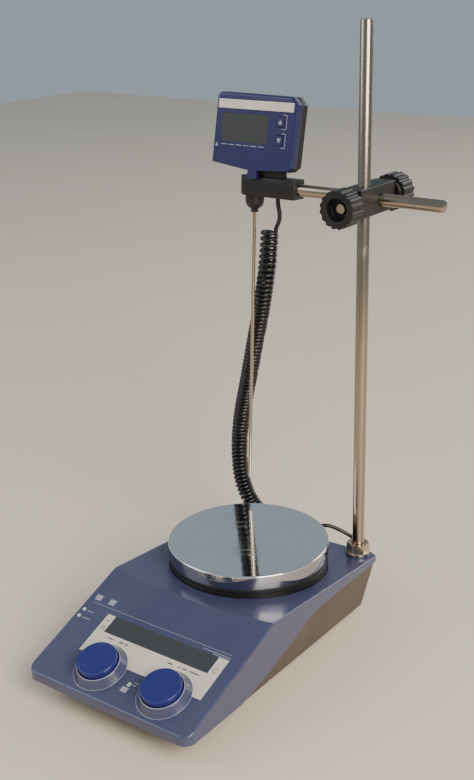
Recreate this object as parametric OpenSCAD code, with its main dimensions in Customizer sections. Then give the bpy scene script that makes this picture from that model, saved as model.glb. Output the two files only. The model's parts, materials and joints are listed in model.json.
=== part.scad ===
/* [Housing] */
// Overall width of the housing
housing_w = 160; // [140:1:200]
// Overall length of the housing
housing_l = 270; // [250:1:330]
// Distance from the plate's axis to the front edge
front_reach = 187; // [180:1:220]
// Height of the plate's top over the bench
plate_height = 85; // [80:1:100]
// Height of the underside of the front nose
nose_z = 20.5; // [16:0.5:24]
// Height of the front face of the cover
nose_h = 7.5; // [5:0.5:12]
// Length of the sloping control panel, measured along the bench
panel_run = 107; // [100:1:120]
// Height of the ridge between the panel and the rear deck
ridge_z = 69; // [66:0.5:72]
// Height of the deck at its rear edge
deck_rear_z = 56.5; // [55:0.5:60]
// Depth of the shallow dish across the deck
deck_dish = 2.3; // [1:0.1:3]
// Wall thickness of the cover
cover_wall = 2.5; // [2:0.1:3]
// Wall thickness of the lower housing
tub_wall = 3; // [2.5:0.1:4]
// Radius of the cover's corners in plan
corner_r = 9; // [6:0.5:14]
// Half the width of the lower housing at its foot
foot_half_w = 64; // [60:0.5:68]
/* [Plate] */
// Diameter of the heating plate
plate_d = 135; // [115:1:140]
// Thickness of the heating plate
plate_t = 12.5; // [10:0.5:16]
// Wall thickness of the insulating collar under the plate
collar_wall = 3.8; // [3:0.1:6]
/* [Controls] */
// Distance of the control group from the centreline
panel_shift = 8; // [4:0.5:10]
// Distance between the two knobs
knob_pitch = 63; // [56:0.5:66]
// Distance of the knobs up the panel from the front edge
knob_v = 26; // [25:0.5:30]
// Diameter of a knob
knob_d = 32; // [28:0.5:33]
// Height of a knob's top over the panel
knob_top = 11; // [10:0.5:14]
// Outer diameter of the raised rim around a knob
rim_d = 43; // [40:0.5:46]
// Height of the raised rim
rim_h = 6; // [4:0.5:7]
// Travel of a knob when it is pressed
knob_travel = 1; // [0.5:0.1:1.2]
// Diameter of the encoder shafts
encoder_shaft_d = 6; // [5:0.5:7]
/* [Stand] */
// Diameter of the stand rod
rod_d = 10; // [8:0.5:11]
// Length of the stand rod
rod_l = 450; // [400:5:600]
// Distance of the rod from the centreline
rod_x = 64; // [60:0.5:65]
// Distance of the rod behind the plate's axis
rod_y = 72.5; // [71:0.5:73]
// Height of the boss head's middle over the bench
head_z = 364.5; // [300:0.5:400]
// Distance between the axes of the two rods in the boss head
rod_gap = 12; // [11.5:0.5:16]
// Diameter of the holding rod
arm_d = 10; // [8:0.5:11]
// Length of the holding rod
arm_l = 150; // [140:1:200]
// Diameter of the thumb screws' threads
thumb_d = 8; // [6:0.5:8]
// Diameter of the thumb screws' knobs
thumb_knob_d = 30; // [24:0.5:34]
/* [Thermometer] */
// Width of the thermometer head
gauge_w = 82; // [76:1:90]
// Height of the thermometer head
gauge_h = 66; // [60:1:74]
// Thickness of the front shell
gauge_front_t = 7; // [6.5:0.5:10]
// Thickness of the rear shell
gauge_rear_t = 7.5; // [6:0.5:12]
// Lean of the head and probe about the holding rod
gauge_lean = 3.3; // [0:0.1:6]
// Lean of the display face against the probe
face_lean = 7; // [0:0.5:10]
// Side of the square holder block
block_s = 16; // [15:0.5:20]
// Diameter of the probe
probe_d = 3; // [2.5:0.1:4]
// Length of the probe under its dome
probe_l = 243; // [150:1:245]
// Distance of the probe from the right end of the block
probe_in = 44.5; // [43:0.5:48]
/* [Cord] */
// Diameter of the cord
cord_d = 3.8; // [3:0.1:4]
// Outer diameter of the curly stretch
curl_d = 16; // [14:0.5:17]
/* [Fits] */
// Radial clearance of a turning or sliding fit
fit = 0.05; // [0.02:0.01:0.08]
// Clearance between parts that must not touch
gap = 0.3; // [0.2:0.05:0.4]
/* [Hidden] */
$fn = 96;
eps = 0.01;
lot = 400;

// Housing
rear_y = housing_l - front_reach;
half_w = housing_w / 2;
panel_z = nose_z + nose_h;
ridge_y = panel_run - front_reach;
panel_angle = atan((ridge_z - panel_z) / panel_run);
deck_angle = atan((deck_rear_z - ridge_z) / (rear_y - ridge_y));
// Lower edge of the cover, from the nose to the rear, as distance behind the axis and height
step_a = [ridge_y - 42, nose_z];
step_b = [ridge_y - 4, nose_z + 9];
step_c = [ridge_y + 62, ridge_z - 17.5];
step_d = [rear_y, deck_rear_z - 4];
// The lip inside the cover's edge ends where the roof comes down to it
lip = 4;
edge_slope = (step_d[1] - step_c[1]) / (step_d[0] - step_c[0]);
roof_at_c = ridge_z + (step_c[0] - ridge_y) * tan(deck_angle) - (cover_wall + deck_dish) / cos(deck_angle);
lip_end = step_c[0] + (roof_at_c - 2 * gap - step_c[1] - lip) / (edge_slope - tan(deck_angle));
lip_half = half_w - cover_wall - gap;
lip_front = cover_wall + gap - front_reach;
lip_rear = rear_y - cover_wall - gap;
foot_h = 3;
floor_z = foot_h + tub_wall;
tub_front = ridge_y - 18;
shoulder_z = 54;
pan_t = 2.2;
bracket_z = 46;
bracket_t = 2;
pillar_x = 57;
pillar_y = 62;
pillar_r = 4;
hatch = [36, -60, 42];
hatch_rim = 8;
hatch_t = 1.5;
foot_x = 46;
foot_front = -84;
foot_rear = 66;
foot_r = 8;
stem_r = 3;
screw_r = 1.5;

// Plate and drive
plate_under = plate_height - plate_t;
collar_r = plate_d / 2 - 0.5;
element_t = 3;
clamp_t = 2;
element_in = 25;
element_out = plate_d / 2 - 20.5;
post_at = plate_d / 2 - 11.5;
post_r = 5;
post_neck_r = 4;
stud_r = 2;
stud_l = 6;
shield_z = plate_under - 8;
shield_t = 0.8;
sensor_x = 12;
sensor_r = 2;
shaft_r = 4;
bearing_r = 11;
bearing_h = 7;
motor_r = 30;
motor_z = 14;
carrier_r = post_at - post_r - 7;
carrier_z = 52;
magnet = [carrier_r - 20, 14, 8];
magnet_x = carrier_r - 16;

// Control panel
label_u = [-59.6, 60];
label_v = [33, 71.2];
label_t = 0.3;
window_u = [-51.7, 51];
window_v = [55, 71.2];
board_h = -11.6;
board_t = 1.6;
board_u = [-84.4, 66];
board_v = [21, 92];
board_posts = [[-70, 26], [58, 26], [-70, 86], [58, 86]];
board_post_r = 3;
lens_u = -82.8;
lens_v = [60.4, 67.4];
lens_r = 1.5;
limit_v = 22.5;
limit_r = 2;
encoder = [13, 13, 6];
shaft_low = -8;
shaft_high = 8.5;
knob_low = 2.2;
knob_wall = 2;
hub_r = 5.5;

// Rear face
inlet_x = -34;
inlet_z = 24;
switch_x = 0;
switch_z = 24;
switch_tilt = 8;
rocker_y = 77;
socket_x = 36;
socket_z = 30;
socket_r = 8;
bezel_t = 2;
plug_l = 36;

// Stand
seat_z = 58.3;
seat_r = 10.5;
rod_in = 8;
socket_wall = 1.8;
washer_r = 10;
washer_t = 2;
nut_af = 17;
nut_h = 8;
arm_y = rod_y + rod_gap;
head_half_w = 9;
head_low = -10.5;
head_high = 12;
head_depth = 19;
head_tail = 21;
head_front = rod_y - head_depth;
head_rear = arm_y + head_tail;
knob_neck = 6;
knob_depth = 16;
cup_depth = 8;
cup_r = 9;

// Thermometer, placed from the right end of its block on the holding rod's axis
block_right = -3.5;
block_l = 57;
arm_in = 18.5;
arm_left = block_right - arm_in;
dome_r = 8;
dome_drop = 4.3;
probe_x = block_right - probe_in;
gauge_left = -86;
gauge_z = block_s / 2 + 1.5;
gauge_front_y = -12;
key_w = 7;
key_h = 8;
key_out = 0.6;
key_back = 3.4;
key_u = 63;
key_z = [29.8, 44.5];
lcd = [8, 26, 46.5, 23];
bracket_u = [46, 70];
nub_u = [38, 47];

// Route of the cord, from the holder to the plug, over the bench
lead_path = [[-25, 84.5, 356.2], [-24.8, 84.5, 350], [-23.6, 84.6, 343.5], [-23.8, 84.9, 338.5],
  [-25.6, 85.3, 333.9], [-27.8, 85.8, 330.4], [-28.4, 86, 326.6]];
curl_path = [[-34.5, 86, 327], [-38.5, 87.5, 297], [-43.5, 90, 276], [-50.5, 94, 252],
  [-58.5, 98, 228], [-66.5, 102, 203], [-76.5, 107, 172], [-85, 111, 146], [-90, 113, 121],
  [-91, 113, 98], [-88, 112, 76], [-80, 112, 57.5], [-68, 112.5, 46], [-51, 114, 39.5],
  [-32, 115.5, 39], [-15, 116.5, 43]];
tail_path = [[-15, 116.5, 43], [-9.2, 116.8, 44.4], [-1, 120, 46], [4.5, 124, 45], [12.5, 130, 40],
  [21.5, 133.5, 35], [28.5, 133.5, 32], [33.5, 130.5, 30.6], [35.8, 125, 30], [36, 118.2, 30]];

function panel_at(y) = panel_z + (y + front_reach) * tan(panel_angle);
function deck_at(y) = ridge_z + (y - ridge_y) * tan(deck_angle);
function flank(z) = foot_half_w + (lip_half - foot_half_w) * min(1, (z - foot_h) / (shoulder_z - foot_h));

// Stands a shape modelled over the bench in the plate's own frame
module bench() {
  translate([0, 0, -plate_height]) children();
}

// Pushes an outline of Y and Z out across X
module across(w) {
  rotate([90, 0, 90]) linear_extrude(w, center = true) children();
}

// Pushes an outline of X and Z out along Y
module along(y0, y1) {
  translate([0, y1, 0]) rotate([90, 0, 0]) linear_extrude(y1 - y0) children();
}

// Upright block with a rounded plan, between two heights
module rounded(hw, y0, y1, r, z0, z1) {
  translate([0, 0, z0]) linear_extrude(z1 - z0) {
    translate([-hw + r, y0]) square([2 * (hw - r), y1 - y0]);
    translate([-hw, y0 + r]) square([2 * hw, y1 - y0 - 2 * r]);
    for (x = [-hw + r, hw - r], y = [y0 + r, y1 - r]) translate([x, y]) circle(r);
  }
}

// Places a shape on the control panel: across, up the slope, and out of it
module on_panel(u = 0, v = 0, h = 0) {
  bench() translate([0, -front_reach, panel_z]) rotate([panel_angle, 0, 0])
    translate([panel_shift + u, v, h]) children();
}

module at_knobs() {
  for (s = [-1, 1]) translate([s * knob_pitch / 2, knob_v, 0]) children();
}

// Upright cylinder between two heights
module bar(r, z0, z1) {
  translate([0, 0, z0]) cylinder(r = r, h = z1 - z0);
}

module tube(r, r_in, z0, z1) {
  difference() {
    bar(r, z0, z1);
    bar(r_in, z0 - 1, z1 + 1);
  }
}

module box(x, y, z) {
  translate([x[0], y[0], z[0]]) cube([x[1] - x[0], y[1] - y[0], z[1] - z[0]]);
}

module at_posts() {
  for (a = [90, 210, 330]) rotate([0, 0, a]) translate([post_at, 0, 0]) rotate([0, 0, -a]) children();
}

module at_pillars() {
  for (x = [-pillar_x, pillar_x], y = [-pillar_y, pillar_y]) translate([x, y, 0]) children();
}

module at_hatch_screws() {
  for (x = [-1, 1], y = [hatch[1] - hatch_rim / 2, hatch[2] + hatch_rim / 2])
    translate([x * (hatch[0] + hatch_rim / 2), y, 0]) children();
}

module at_feet() {
  for (x = [-foot_x, foot_x], y = [foot_front, foot_rear]) translate([x, y, 0]) children();
}

// Cross-section of the lower housing's slanted flanks
module flank_outline(inset, low, top) {
  polygon([[inset - flank(low), low], [flank(low) - inset, low],
    [flank(shoulder_z) - inset, shoulder_z], [flank(shoulder_z) - inset, top],
    [inset - flank(shoulder_z), top], [inset - flank(shoulder_z), shoulder_z]]);
}

// Top of the lower housing from the rear to the front: under the cover's edge, then inside it
function edge_at(y) = step_c[1] + (y - step_c[0]) * edge_slope;
function lip_line(y) = [[y, edge_at(y) - fit], [lip_end + 1, edge_at(lip_end + 1) - fit],
  [lip_end, edge_at(lip_end) + lip], [step_c[0], step_c[1] + lip], [step_b[0], step_b[1] + lip],
  [step_a[0], step_a[1] + lip]];

// Band that follows the cover's lower edge, from a drop below it up to the lip
module edge_band(drop, y0, y1) {
  polygon(concat([[y0, step_a[1] - drop], [step_a[0], step_a[1] - drop], [step_b[0], step_b[1] - drop],
    [step_c[0], step_c[1] - drop]], [[y1, edge_at(y1) - drop]], lip_line(y1), [[y0, step_a[1] + lip]]));
}

module lower_housing() {
  color([0.32, 0.29, 0.24]) bench() difference() {
    union() {
      difference() {
        union() {
          intersection() {
            across(lot) polygon(concat([[step_a[0], step_a[1] - 1], [tub_front, foot_h],
              [lip_rear, foot_h]], lip_line(lip_rear)));
            along(-lot, lot) flank_outline(0, foot_h, shoulder_z + 10);
          }
          intersection() {
            across(lot) edge_band(1, lip_front, lip_rear);
            rounded(lip_half, lip_front, lip_rear, corner_r - cover_wall - gap, 0, lot);
          }
        }
        intersection() {
          across(lot) polygon([[tub_front + tub_wall, floor_z], [lip_rear - tub_wall, floor_z],
            [lip_rear - tub_wall, lot], [lip_front + tub_wall, lot],
            [lip_front + tub_wall, nose_z - 1 + pan_t], [step_a[0], nose_z - 1 + pan_t]]);
          along(-lot, lot) flank_outline(tub_wall, floor_z - 5, lot);
        }
        intersection() {
          across(lot) polygon([[lip_front + tub_wall, nose_z - 1 + pan_t],
            [step_a[0], nose_z - 1 + pan_t], [step_b[0], step_b[1] - 1 + pan_t],
            [step_c[0], step_c[1] - 1 + pan_t], [lip_rear - tub_wall, step_d[1] - 1 + pan_t],
            [lip_rear - tub_wall, lot], [lip_front + tub_wall, lot]]);
          rounded(lip_half - tub_wall, lip_front + tub_wall, lip_rear - tub_wall, 4, 0, lot);
        }
      }
      at_pillars() bar(pillar_r, floor_z - 1, bracket_z);
      for (x = [-48, 48], y = [-88, -41]) translate([x, y, 0]) bar(board_post_r, floor_z - 1, floor_z + 5);
    }
    at_pillars() bar(screw_r, bracket_z - 12, bracket_z + 1);
    at_hatch_screws() bar(screw_r, 0, lot / 10);
    box([-hatch[0], hatch[0]], [hatch[1], hatch[2]], [0, 20]);
    box([-hatch[0] - hatch_rim - gap, hatch[0] + hatch_rim + gap],
      [hatch[1] - hatch_rim - gap, hatch[2] + hatch_rim + gap], [0, foot_h + hatch_t]);
    at_feet() bar(stem_r + fit, 0, 20);
    translate([rod_x, rod_y, 0]) bar(rod_d / 2 + socket_wall + gap, seat_z - rod_in - 3, lot);
    rear_cuts();
  }
}

// Openings of the rear wall for the inlet, the switch and the probe's socket
module rear_cuts() {
  y = [lip_rear - tub_wall - 1, lip_rear + 1];
  box([inlet_x - 14, inlet_x + 14], y, [inlet_z - 10, inlet_z + 10]);
  box([switch_x - 9.6, switch_x + 9.6], y, [switch_z - 9.2, switch_z + 9.2]);
  translate([socket_x, y[1], socket_z]) rotate([90, 0, 0]) cylinder(r = socket_r + fit, h = y[1] - y[0]);
}

module cover_profile(wall, dish, low) {
  z0 = panel_at(-front_reach + wall) - wall / cos(panel_angle);
  crease_y = (ridge_z - (wall + dish) / cos(deck_angle) - ridge_y * tan(deck_angle)
    - panel_z + wall / cos(panel_angle) - front_reach * tan(panel_angle))
    / (tan(panel_angle) - tan(deck_angle));
  crease_z = deck_at(crease_y) - (wall + dish) / cos(deck_angle);
  polygon([[wall - front_reach, low], [wall - front_reach, z0], [crease_y, crease_z],
    [rear_y - wall, deck_at(rear_y - wall) - (wall + dish) / cos(deck_angle)], [rear_y - wall, low]]);
}

// The dish is a very large cylinder laid along the deck
module deck_dish_cut() {
  dish_r = (half_w * half_w + deck_dish * deck_dish) / (2 * deck_dish);
  translate([0, ridge_y, ridge_z]) rotate([deck_angle, 0, 0]) translate([0, -30, dish_r - deck_dish])
    rotate([-90, 0, 0]) cylinder(r = dish_r, h = housing_l, $fn = 1800);
}

module top_cover() {
  color([0.27, 0.31, 0.47]) {
    difference() {
      union() {
        bench() difference() {
          intersection() {
            across(lot) difference() {
              cover_profile(0, 0, 0);
              polygon([[-lot, -lot], [lot, -lot], [lot, step_d[1]], [step_d[0], step_d[1]], step_c,
                step_b, step_a, [-lot, nose_z]]);
            }
            rounded(half_w, -front_reach, rear_y, corner_r, 0, lot);
          }
          deck_dish_cut();
          intersection() {
            across(lot) cover_profile(cover_wall, deck_dish, -10);
            rounded(half_w - cover_wall, cover_wall - front_reach, rear_y - cover_wall,
              corner_r - cover_wall, -20, lot);
          }
          bar(collar_r + gap, 0, lot);
        }
        bench() translate([rod_x, rod_y, 0]) {
          bar(seat_r, deck_at(rod_y) - cover_wall, seat_z);
          bar(rod_d / 2 + socket_wall, seat_z - rod_in - 2, seat_z - 1);
        }
        on_panel() at_knobs() cylinder(d1 = rim_d, d2 = knob_d + 3.2, h = rim_h);
        on_panel() for (p = board_posts) translate([p[0], p[1], board_h + board_t])
          cylinder(r = board_post_r, h = -board_h - board_t - 1);
      }
      bench() translate([rod_x, rod_y, 0]) bar(rod_d / 2 + fit, seat_z - rod_in - eps, lot);
      on_panel() at_knobs() {
        cylinder(d = knob_d + 1.2, h = rim_h + 1);
        translate([0, 0, -5]) cylinder(d = encoder_shaft_d + 1, h = 10);
      }
      on_panel() box(window_u, window_v, [-5, 1]);
      on_panel(0, limit_v) translate([0, 0, -5]) cylinder(r = limit_r + 0.2, h = 10);
      for (v = lens_v) on_panel(lens_u, v) translate([0, 0, -5]) cylinder(r = lens_r + fit, h = 10);
    }
  }
}

module bottom_plate() {
  color("silver") bench() difference() {
    box([-hatch[0] - hatch_rim, hatch[0] + hatch_rim], [hatch[1] - hatch_rim, hatch[2] + hatch_rim],
      [foot_h, foot_h + hatch_t]);
    at_hatch_screws() bar(screw_r + 0.2, 0, lot);
  }
}

module rubber_feet() {
  color([0.1, 0.1, 0.1]) bench() at_feet() {
    bar(foot_r, 0, foot_h);
    bar(stem_r, foot_h - 1, foot_h + tub_wall - 0.5);
  }
}

// Screws of the bottom plate and of the motor bracket
module housing_screws() {
  color("silver") bench() {
    at_hatch_screws() {
      bar(screw_r - fit, foot_h - 0.5, floor_z);
      bar(screw_r + 1.4, foot_h - 1.6, foot_h);
    }
    at_pillars() {
      bar(screw_r - fit, bracket_z - 10, bracket_z + bracket_t + 1);
      bar(screw_r + 1.4, bracket_z + bracket_t, bracket_z + bracket_t + 1.6);
    }
  }
}

module heating_plate() {
  chamfer = 0.8;
  color("gainsboro") difference() {
    union() {
      bar(plate_d / 2, chamfer - plate_t, -chamfer);
      translate([0, 0, -chamfer]) cylinder(r1 = plate_d / 2, r2 = plate_d / 2 - chamfer, h = chamfer);
      translate([0, 0, -plate_t]) cylinder(r1 = plate_d / 2 - chamfer, r2 = plate_d / 2, h = chamfer);
    }
    at_posts() bar(stud_r + fit, -plate_t - 1, stud_l + 0.5 - plate_t);
    translate([sensor_x, 0, 0]) bar(sensor_r + fit, -plate_t - 1, -plate_t / 2);
  }
}

module insulating_collar() {
  color([0.08, 0.08, 0.08]) bench() difference() {
    union() {
      bar(collar_r, bracket_z + bracket_t, plate_under);
      bar(collar_r + 2, bracket_z + bracket_t, bracket_z + bracket_t + 2);
    }
    bar(collar_r - collar_wall, 0, lot);
  }
}

module heating_element() {
  color("indianred") bench() tube(element_out, element_in, plate_under - element_t, plate_under);
}

module element_clamp() {
  z = plate_under - element_t;
  color("tan") bench() tube(element_out + 1, element_in - 1, z - clamp_t, z);
}

module plate_sensor() {
  color("goldenrod") bench() translate([sensor_x, 0, 0]) bar(sensor_r, shield_z - 0.5, plate_under + plate_t / 2 - 1);
}

module plate_posts() {
  color("silver") bench() at_posts() {
    bar(post_r, floor_z, shield_z);
    bar(post_neck_r, shield_z, plate_under);
    bar(stud_r, plate_under, plate_under + stud_l);
  }
}

module heat_shield() {
  color("lightgray") bench() difference() {
    bar(collar_r - collar_wall - 1, shield_z, shield_z + shield_t);
    at_posts() bar(post_neck_r + 0.1, 0, lot);
    translate([sensor_x, 0, 0]) bar(sensor_r + 0.2, 0, lot);
  }
}

module motor_bracket() {
  color("lightgray") bench() difference() {
    rounded(pillar_x + 12, -pillar_y - 7, pillar_y + 8, 8, bracket_z, bracket_z + bracket_t);
    at_posts() bar(post_r + gap, 0, lot);
    at_pillars() bar(screw_r + 0.2, 0, lot);
    bar(bearing_r - 2, 0, lot);
  }
}

module motor_housing() {
  wall = 3;
  color([0.25, 0.25, 0.27]) bench() difference() {
    bar(motor_r, motor_z, bracket_z);
    bar(motor_r - wall, motor_z + bearing_h, bracket_z - bearing_h);
    bar(bearing_r + 0.03, motor_z - 1, motor_z + bearing_h + 1);
    bar(bearing_r + 0.03, bracket_z - bearing_h - 1, bracket_z + 1);
  }
}

module stator_winding() {
  color("peru") bench() tube(motor_r - 3 - fit, motor_r - 12, motor_z + bearing_h + 2, bracket_z - bearing_h - 2);
}

module bearing(z) {
  color("silver") bench() tube(bearing_r, shaft_r + fit, z, z + bearing_h);
}

module upper_bearing() {
  bearing(bracket_z - bearing_h);
}

module lower_bearing() {
  bearing(motor_z);
}

module motor_shaft() {
  color("silver") bench() bar(shaft_r, motor_z + 0.5, carrier_z + 6);
}

module rotor_core() {
  color("dimgray") bench() tube(motor_r - 13, shaft_r, motor_z + bearing_h + 3, bracket_z - bearing_h - 3);
}

module magnet_carrier() {
  color("gray") bench() difference() {
    union() {
      bar(carrier_r, carrier_z, carrier_z + 3);
      bar(8, carrier_z - 1.5, carrier_z + 7);
    }
    bar(shaft_r, carrier_z - 3, carrier_z + 6);
  }
}

module drive_magnets() {
  color("darkslategray") bench() for (s = [-1, 1])
    translate([s * magnet_x - magnet[0] / 2, -magnet[1] / 2, carrier_z + 3]) cube(magnet);
}

module power_board() {
  color("darkgreen") bench() box([-52, 52], [-92, -37], [floor_z + 5, floor_z + 5 + board_t]);
}

module power_transformer() {
  color("goldenrod") bench() box([-22, 22], [-86, -50], [floor_z + 5 + board_t, floor_z + 35 + board_t]);
}

module control_board() {
  color("darkgreen") on_panel(0, 0, board_h) box(board_u, board_v, [0, board_t]);
}

module display_module() {
  color([0.15, 0.15, 0.15]) on_panel(0, 0, board_h + board_t)
    box([window_u[0] + 2, window_u[1] - 2], [window_v[0] + 1, window_v[1] - 1], [0, 6.6]);
}

module display_window() {
  color([0.2, 0.21, 0.21]) on_panel() box([window_u[0] + fit, window_u[1] - fit],
    [window_v[0] + fit, window_v[1] - fit], [-cover_wall, label_t]);
}

module panel_label() {
  color([0.86, 0.83, 0.76]) on_panel() difference() {
    box(label_u, label_v, [0, label_t]);
    box(window_u, [window_v[0], window_v[1] + 1], [-1, 1]);
    at_knobs() translate([0, 0, -1]) cylinder(d = rim_d + gap, h = 2);
  }
}

module indicator_lenses() {
  color("ivory") for (v = lens_v) on_panel(lens_u, v, board_h + board_t)
    cylinder(r = lens_r, h = -board_h - board_t + 0.4);
}

module encoder_body(side) {
  color("dimgray") on_panel(side * knob_pitch / 2, knob_v, board_h + board_t) difference() {
    translate([-encoder[0] / 2, -encoder[1] / 2, 0]) cube(encoder);
    translate([0, 0, shaft_low - board_h - board_t - knob_travel - 0.5])
      cylinder(d = encoder_shaft_d + 2 * fit, h = 10);
  }
}

module heat_encoder() {
  encoder_body(-1);
}

module speed_encoder() {
  encoder_body(1);
}

module limit_potentiometer() {
  color("royalblue") on_panel(0, limit_v, board_h + board_t) difference() {
    translate([-4, -4, 0]) cube([8, 8, 5]);
    translate([0, 0, 1]) cylinder(r = limit_r + fit, h = 10);
  }
}

module limit_screw() {
  color("white") on_panel(0, limit_v) difference() {
    translate([0, 0, board_h + board_t + 1.5]) cylinder(r = limit_r, h = -board_h - board_t - 2);
    translate([-limit_r - 1, -0.4, -1.5]) cube([2 * limit_r + 2, 0.8, 2]);
  }
}

module encoder_shaft(side) {
  color("silver") on_panel(side * knob_pitch / 2, knob_v, shaft_low)
    cylinder(d = encoder_shaft_d, h = shaft_high - shaft_low);
}

module heat_shaft() {
  encoder_shaft(-1);
}

module speed_shaft() {
  encoder_shaft(1);
}

module knob(side) {
  edge = 1.2;
  color([0.16, 0.18, 0.42]) on_panel(side * knob_pitch / 2, knob_v) difference() {
    union() {
      translate([0, 0, knob_low]) cylinder(d = knob_d, h = knob_top - edge - knob_low);
      translate([0, 0, knob_top - edge]) cylinder(d1 = knob_d, d2 = knob_d - 2 * edge, h = edge);
    }
    difference() {
      translate([0, 0, knob_low - 1]) cylinder(d = knob_d - 2 * knob_wall, h = knob_top - knob_low - knob_wall + 1);
      cylinder(r = hub_r, h = knob_top);
    }
    cylinder(d = encoder_shaft_d + 2 * fit, h = shaft_high);
  }
}

module heat_knob() {
  knob(-1);
}

module speed_knob() {
  knob(1);
}

module mains_inlet() {
  color([0.1, 0.1, 0.1]) bench() translate([inlet_x, lip_rear, inlet_z]) {
    difference() {
      union() {
        box([-16, 16], [0, bezel_t], [-12, 12]);
        box([-13.8, 13.8], [-20, 0.5], [-9.8, 9.8]);
      }
      box([-12, 12], [-16, 5], [-8, 8]);
    }
    for (x = [-7, 0, 7]) box([x - 1, x + 1], [-17, -4], [x == 0 ? 0 : -4, x == 0 ? 4 : 0]);
  }
}

module switch_frame() {
  color([0.1, 0.1, 0.1]) bench() translate([switch_x, lip_rear, switch_z]) difference() {
    union() {
      box([-11, 11], [0, bezel_t], [-11, 11]);
      box([-9.5, 9.5], [-15, 0.5], [-9, 9]);
    }
    box([-8, 8], [-12, 5], [-7.8, 7.8]);
  }
}

module switch_rocker() {
  color([0.15, 0.3, 0.15]) bench() translate([switch_x, rocker_y, switch_z]) rotate([-switch_tilt, 0, 0])
    box([-7.6, 7.6], [-4, 6.5], [-6.4, 6.4]);
}

module probe_socket() {
  color([0.1, 0.1, 0.1]) bench() translate([socket_x, lip_rear, socket_z]) rotate([-90, 0, 0]) difference() {
    union() {
      bar(socket_r + 2, 0, bezel_t);
      bar(socket_r, -16, 0.5);
    }
    bar(socket_r - 1.5, -12, 5);
  }
}

module cord_plug() {
  y0 = lip_rear + bezel_t;
  color([0.12, 0.12, 0.12]) bench() translate([socket_x, y0, socket_z]) rotate([-90, 0, 0]) {
    bar(socket_r - 1.7, -9, 0.5);
    bar(socket_r + 0.5, 0, plug_l * 0.6);
    translate([0, 0, plug_l * 0.6]) cylinder(r1 = socket_r - 1, r2 = cord_d / 2 + 0.8, h = plug_l * 0.4);
  }
}

module hex_bar(af, h) {
  cylinder(d = af / cos(30), h = h, $fn = 6);
}

// Washer and nut that hold the stand rod on the deck
module rod_fasteners() {
  color("silver") bench() translate([rod_x, rod_y, seat_z]) {
    tube(washer_r, rod_d / 2 + 0.25, 0, washer_t);
    difference() {
      translate([0, 0, washer_t]) hex_bar(nut_af, nut_h);
      bar(rod_d / 2 + fit, -1, lot);
    }
  }
}

module stand_rod() {
  round_r = 1;
  top = seat_z - rod_in + rod_l;
  color("silver") bench() translate([rod_x, rod_y, 0]) {
    bar(rod_d / 2, seat_z - rod_in, top - round_r);
    translate([0, 0, top - round_r]) cylinder(r1 = rod_d / 2, r2 = rod_d / 2 - round_r, h = round_r);
  }
}

module at_head() {
  bench() translate([0, 0, head_z]) children();
}

// Clamp body with an upright bore for the stand rod and a level bore for the holding rod
module boss_head() {
  color([0.12, 0.12, 0.13]) at_head() difference() {
    union() {
      box([rod_x - head_half_w, rod_x + head_half_w], [head_front, head_rear], [head_low, head_high]);
      translate([rod_x, head_front + 1, 0]) rotate([90, 0, 0]) bar(head_half_w - 0.5, 0, 2.5);
      translate([rod_x, head_rear - 1, 0]) rotate([-90, 0, 0]) bar(head_half_w - 0.5, 0, 2.5);
    }
    translate([rod_x, rod_y, 0]) bar(rod_d / 2 + fit, -lot, lot);
    translate([rod_x, arm_y, 0]) rotate([0, 90, 0]) bar(arm_d / 2 + fit, -lot, lot);
    translate([rod_x, rod_y, 0]) rotate([90, 0, 0]) bar(thumb_d / 2 + fit, 0, lot);
    translate([rod_x, arm_y, 0]) rotate([-90, 0, 0]) bar(thumb_d / 2 + fit, 0, lot);
  }
}

// Both thumb screws point away from the rods, along the outline's own Z
module at_rod_screw() {
  at_head() translate([rod_x, rod_y - rod_d / 2 - gap, 0]) rotate([90, 0, 0]) children();
}

module at_arm_screw() {
  at_head() translate([rod_x, arm_y + arm_d / 2 + gap, 0]) rotate([-90, 0, 0]) children();
}

// How far a knob stands from the tip of its screw
rod_reach = head_depth - rod_d / 2 - gap + knob_neck;
arm_reach = head_tail - arm_d / 2 - gap + knob_neck;

module thumb_screw(reach) {
  color("silver") bar(thumb_d / 2, 0, reach + knob_depth - cup_depth + 2);
}

// Scalloped knob with a cup around the end of its screw
module thumb_knob(reach) {
  lobes = 16;
  color([0.1, 0.1, 0.1]) translate([0, 0, reach]) difference() {
    union() {
      bar(thumb_knob_d / 2 - 4, -1.5, 2);
      bar(thumb_knob_d / 2, 0, knob_depth);
    }
    bar(thumb_d / 2 + fit, -lot, lot);
    bar(cup_r, knob_depth - cup_depth, knob_depth + 1);
    for (i = [0 : lobes - 1]) rotate([0, 0, i * 360 / lobes])
      translate([thumb_knob_d / 2 + 1, 0, 0]) bar(2, -1, knob_depth + 1);
  }
}

module rod_screw() {
  at_rod_screw() thumb_screw(rod_reach);
}

module rod_screw_knob() {
  at_rod_screw() thumb_knob(rod_reach);
}

module arm_screw() {
  at_arm_screw() thumb_screw(arm_reach);
}

module arm_screw_knob() {
  at_arm_screw() thumb_knob(arm_reach);
}

// The holding rod lies along X behind the stand rod
module holding_rod() {
  color("silver") at_head() translate([arm_left, arm_y, 0]) rotate([0, 90, 0]) {
    bar(arm_d / 2, 0, arm_l - 2);
    translate([0, 0, arm_l - 2]) cylinder(r1 = arm_d / 2, r2 = arm_d / 2 - 2, h = 2);
  }
}

// Frame of the thermometer, leaned back about the holding rod's axis
module on_holder() {
  at_head() translate([0, arm_y, 0]) rotate([-gauge_lean, 0, 0]) children();
}

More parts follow.
